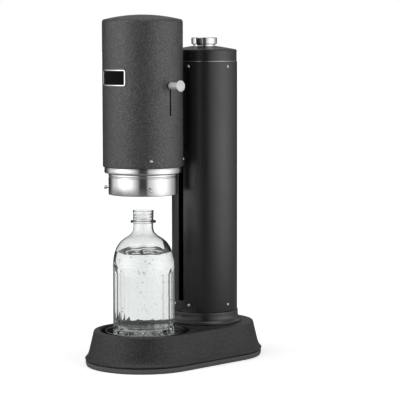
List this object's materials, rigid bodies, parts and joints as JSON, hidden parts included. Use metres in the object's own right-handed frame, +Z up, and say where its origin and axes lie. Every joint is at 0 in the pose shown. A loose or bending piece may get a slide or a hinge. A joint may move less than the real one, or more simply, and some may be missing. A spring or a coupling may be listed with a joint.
{
  "type": "sparkling water maker",
  "caption": "Countertop sparkling water maker: stadium base, gas column, round head with side lever, sliding steel shield and fluted bottle on a drip tray.",
  "frame": {"origin": "centre of the footprint on the surface it stands on, midway between the head's and the column's axes", "axes": "+Z up, front towards -Y, side lever on the +X side"},
  "size_m": [0.1418, 0.2444, 0.419],
  "materials": {
    "textured_black": "fine sand-textured matte black powder coat",
    "satin_black": "smooth satin black paint",
    "matte_plastic": "matte black moulding",
    "polished_steel": "mirror-polished stainless steel",
    "brushed_steel": "plain steel",
    "brass": "turned brass",
    "foot_rubber": "grey matte elastomer",
    "silicone": "pale silicone",
    "glass": "clear, fluted",
    "water": "clear water with fine bubbles"
  },
  "bodies": {
    "stand": {"foot_ring": "foot_rubber", "base_body": "textured_black", "base_plate": "matte_plastic", "base_screw_1": "brushed_steel", "base_screw_2": "brushed_steel", "base_screw_3": "brushed_steel", "base_screw_4": "brushed_steel", "drip_tray": "polished_steel", "tray_grille": "matte_plastic", "column_collar": "matte_plastic", "column_shell": "satin_black", "column_top_ring": "matte_plastic", "head_screw_1": "polished_steel", "head_screw_2": "polished_steel", "head_screw_3": "polished_steel", "head_screw_4": "polished_steel", "column_screw_low_1": "polished_steel", "column_screw_low_2": "polished_steel", "column_screw_low_3": "polished_steel", "column_screw_low_4": "polished_steel", "column_screw_high_1": "polished_steel", "column_screw_high_2": "polished_steel", "column_screw_high_3": "polished_steel", "column_screw_high_4": "polished_steel", "gas_cylinder": "brushed_steel", "cylinder_valve": "brass", "gas_adapter": "brass", "guide_rod_left": "polished_steel", "guide_rod_right": "polished_steel", "bridge_housing": "satin_black", "head_shell": "textured_black", "head_trim_ring": "polished_steel", "guide_ring": "matte_plastic", "badge_frame": "polished_steel", "badge_plate": "matte_plastic", "lever_spring": "brushed_steel", "lever_guide_rear": "matte_plastic", "lever_guide_front": "matte_plastic", "head_frame": "brushed_steel", "valve_block": "brass", "gas_pipe": "brass", "gas_hose": "silicone"},
    "shield": {"shield_tube": "polished_steel", "shield_cuff": "polished_steel", "finger_knob_left": "polished_steel", "finger_knob_right": "polished_steel", "shield_carriage": "matte_plastic", "nozzle_bell": "matte_plastic", "nozzle_seal": "silicone", "nozzle_body": "brass", "nozzle_tube": "polished_steel", "shield_arm": "brushed_steel"},
    "lever": {"lever_slider": "brushed_steel", "lever_shaft": "polished_steel", "lever_knob": "polished_steel"},
    "valve_stem": {"valve_stem": "polished_steel"},
    "lid": {"column_lid": "textured_black", "lid_knob": "polished_steel"},
    "bottle": {"bottle": "glass", "water": "water"}
  },
  "joints": [
    {"name": "shield_slide", "type": "slide", "parent": "stand", "child": "shield", "axis": [0, 0, -1], "range_m": [0, 0.166], "deforming": ["gas_hose"]},
    {"name": "lever_slide", "type": "slide", "parent": "stand", "child": "lever", "axis": [0, 0, -1], "range_m": [0, 0.0315], "stiffness_N_per_m": 350, "springref_m": -0.012, "deforming": ["lever_spring"]},
    {"name": "valve_stem_slide", "type": "slide", "parent": "stand", "child": "valve_stem", "axis": [-1, 0, 0], "range_m": [0, 0.003]},
    {"name": "lid_lift", "type": "slide", "parent": "stand", "child": "lid", "axis": [0, 0, 1], "range_m": [0, 0.03]},
    {"name": "bottle_lift", "type": "slide", "parent": "stand", "child": "bottle", "axis": [0, 0, 1], "range_m": [0, 0.0086]}
  ],
  "couplings": [
    {"joint": "valve_stem_slide", "follows": "lever_slide", "ratio": 0.0952}
  ]
}
